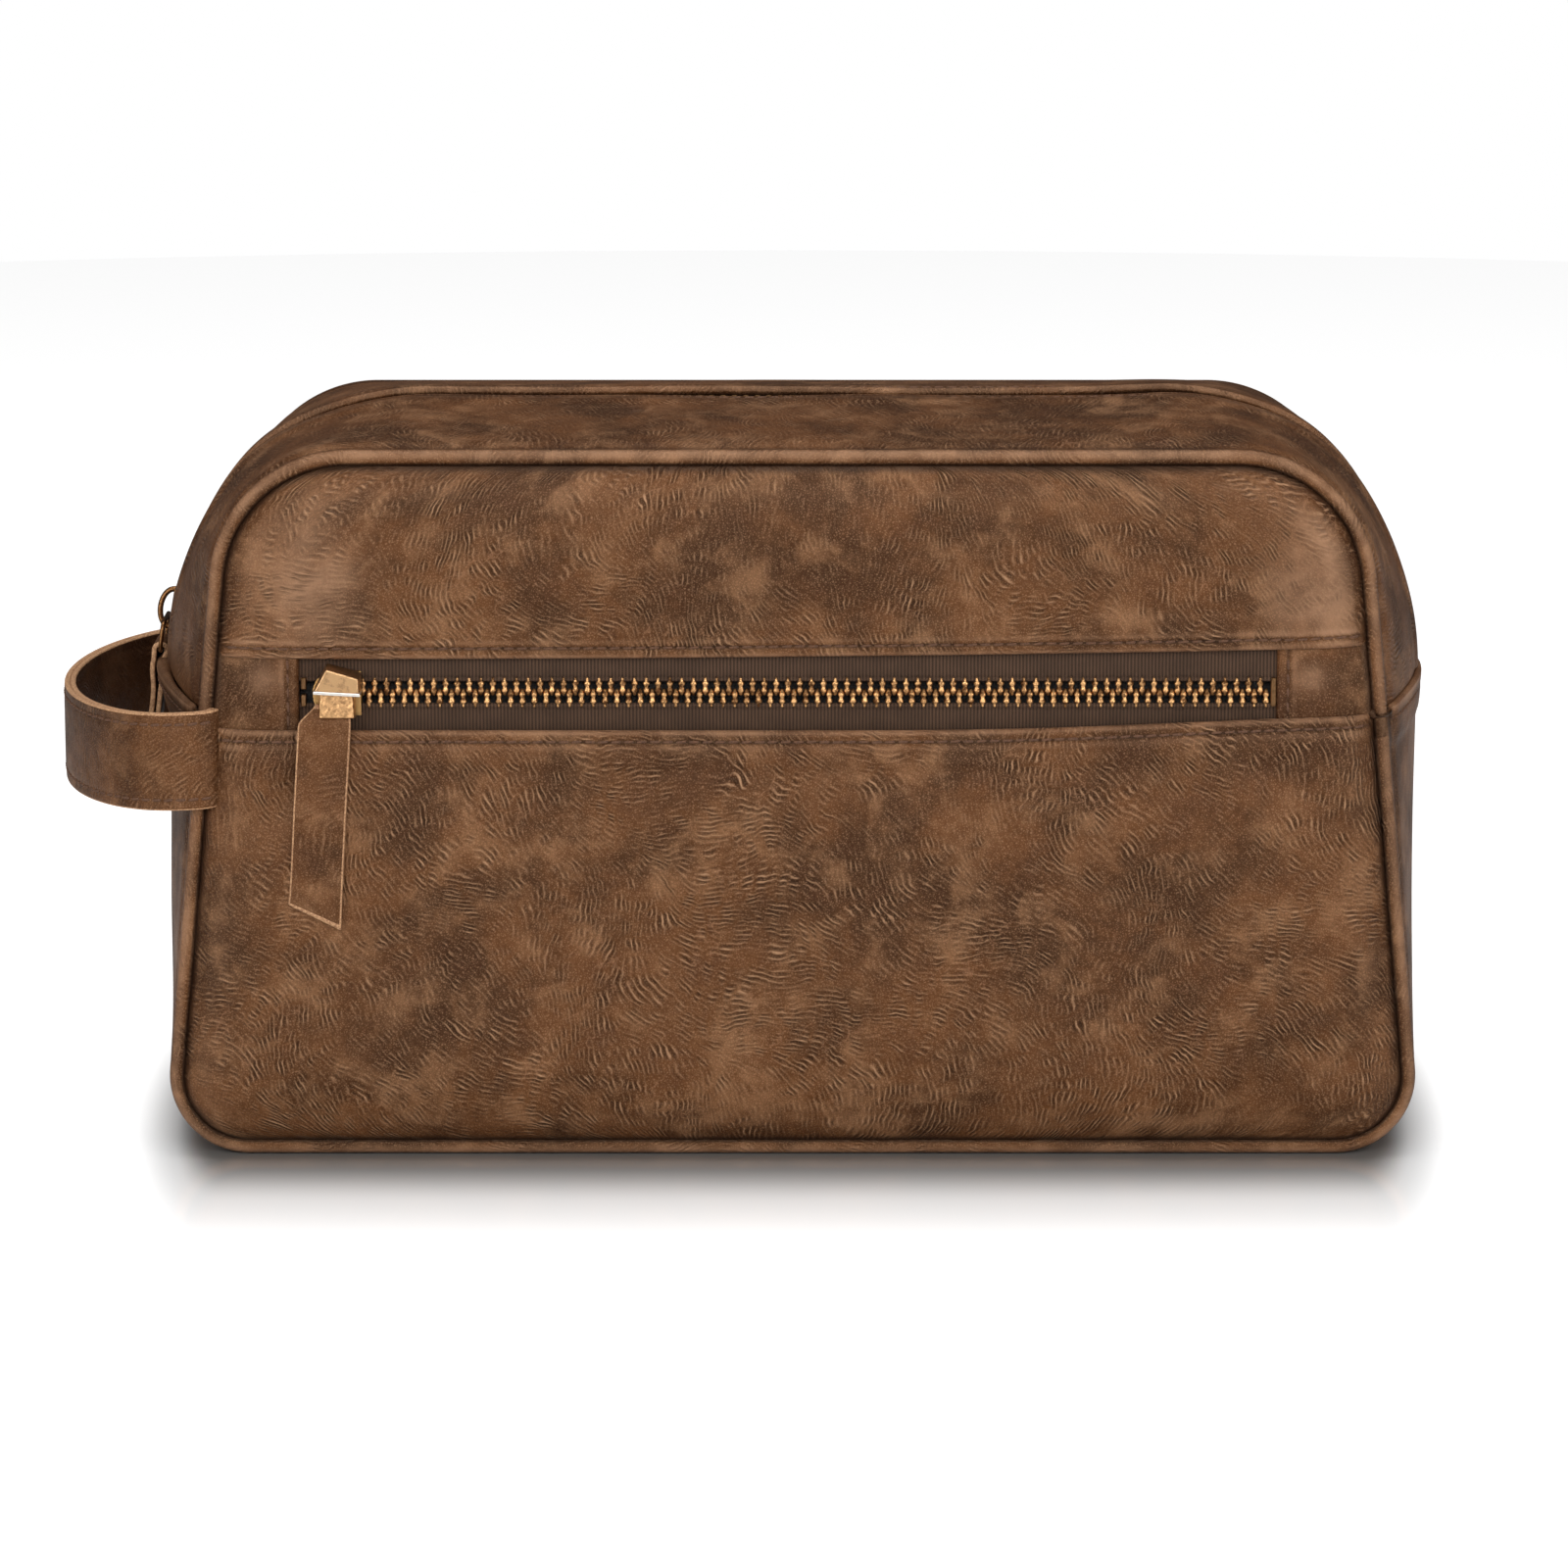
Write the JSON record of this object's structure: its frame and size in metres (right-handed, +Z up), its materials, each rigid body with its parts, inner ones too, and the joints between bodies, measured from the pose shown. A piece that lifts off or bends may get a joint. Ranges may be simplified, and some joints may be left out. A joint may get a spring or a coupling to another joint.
{
  "type": "shaving kit bag",
  "caption": "Leather wash bag with a zipped main compartment over the top, a zipped front pocket, leather zip pulls and a side carrying loop.",
  "frame": {"origin": "centre of the flat base, on the ground", "axes": "+X to the right seen from the front, -Y out of the front pocket's face, +Z up"},
  "size_m": [0.2894, 0.1148, 0.1538],
  "materials": {
    "front_upper_panel": "distressed, satin",
    "front_lower_panel": "distressed, satin",
    "back_panel": "distressed, satin",
    "top_gusset_front": "distressed, satin",
    "top_gusset_back": "distressed, satin",
    "pocket_pull_strap": "distressed, satin",
    "main_pull_strap": "distressed, satin",
    "handle_strap_outer": "distressed, satin",
    "pocket_tab_left": "distressed, satin",
    "pocket_tab_right": "distressed, satin",
    "bottom_gusset": "distressed, satin",
    "handle_strap_lining": "distressed, satin",
    "lining_front": "matt",
    "lining_back": "matt",
    "lining_top_front": "matt",
    "lining_top_back": "matt",
    "lining_base": "matt",
    "seam_binding_front": "matt",
    "seam_binding_back": "matt",
    "pocket_pouch": "matt",
    "pocket_tape_upper": "matt",
    "pocket_tape_lower": "matt",
    "main_tape_front": "matt",
    "main_tape_back": "matt",
    "foam_front": "matt",
    "foam_back": "matt",
    "pocket_teeth_upper": "antique, brushed",
    "pocket_teeth_lower": "antique, brushed",
    "pocket_top_stop_upper": "antique, brushed",
    "pocket_top_stop_lower": "antique, brushed",
    "pocket_bottom_stop": "antique, brushed",
    "pocket_slider": "antique, brushed",
    "pocket_pull_head": "antique, brushed",
    "main_teeth_front": "antique, brushed",
    "main_teeth_back": "antique, brushed",
    "main_top_stop_front": "antique, brushed",
    "main_top_stop_back": "antique, brushed",
    "main_bottom_stop": "antique, brushed",
    "main_slider": "antique, brushed",
    "main_pull_ring": "antique, brushed",
    "base_board": "matt"
  },
  "bodies": {
    "bag": {"back_panel": "back_panel", "base_board": "base_board", "bottom_gusset": "bottom_gusset", "foam_back": "foam_back", "foam_front": "foam_front", "front_lower_panel": "front_lower_panel", "front_upper_panel": "front_upper_panel", "lining_back": "lining_back", "lining_base": "lining_base", "lining_front": "lining_front", "lining_top_back": "lining_top_back", "lining_top_front": "lining_top_front", "main_bottom_stop": "main_bottom_stop", "main_tape_back": "main_tape_back", "main_tape_front": "main_tape_front", "main_teeth_back": "main_teeth_back", "main_teeth_front": "main_teeth_front", "main_top_stop_back": "main_top_stop_back", "main_top_stop_front": "main_top_stop_front", "pocket_bottom_stop": "pocket_bottom_stop", "pocket_pouch": "pocket_pouch", "pocket_tab_left": "pocket_tab_left", "pocket_tab_right": "pocket_tab_right", "pocket_tape_lower": "pocket_tape_lower", "pocket_tape_upper": "pocket_tape_upper", "pocket_teeth_lower": "pocket_teeth_lower", "pocket_teeth_upper": "pocket_teeth_upper", "pocket_top_stop_lower": "pocket_top_stop_lower", "pocket_top_stop_upper": "pocket_top_stop_upper", "seam_binding_back": "seam_binding_back", "seam_binding_front": "seam_binding_front", "top_gusset_back": "top_gusset_back", "top_gusset_front": "top_gusset_front"},
    "pocket_slider": {"pocket_slider": "pocket_slider"},
    "pocket_pull": {"pocket_pull_head": "pocket_pull_head", "pocket_pull_strap": "pocket_pull_strap"},
    "main_slider": {"main_slider": "main_slider"},
    "main_pull": {"main_pull_ring": "main_pull_ring", "main_pull_strap": "main_pull_strap"},
    "handle": {"handle_strap_lining": "handle_strap_lining", "handle_strap_outer": "handle_strap_outer"}
  },
  "joints": [
    {"name": "pocket_zip_slide", "type": "slide", "parent": "bag", "child": "pocket_slider", "axis": [1, 0, 0], "range_m": [0, 0.186], "deforming": ["pocket_teeth_upper", "pocket_teeth_lower"]},
    {"name": "pocket_pull_swing", "type": "hinge", "parent": "pocket_slider", "child": "pocket_pull", "pos_m": [-0.094, -0.0574, 0.0989], "axis": [-1, 0, 0], "range_deg": [0, 95]},
    {"name": "main_zip_slide", "type": "hinge", "parent": "bag", "child": "main_slider", "pos_m": [-0.0765, 0, 0.0969], "axis": [0, 1, 0], "range_deg": [0, 75], "deforming": ["main_teeth_front", "main_teeth_back"]},
    {"name": "main_pull_swing", "type": "hinge", "parent": "main_slider", "child": "main_pull", "pos_m": [-0.13475, 0, 0.10526], "axis": [0, 1, 0], "range_deg": [0, 17]},
    {"name": "handle_swing", "type": "hinge", "parent": "bag", "child": "handle", "pos_m": [-0.125, 0, 0.0845], "axis": [0, 1, 0], "range_deg": [-20, 20]}
  ]
}
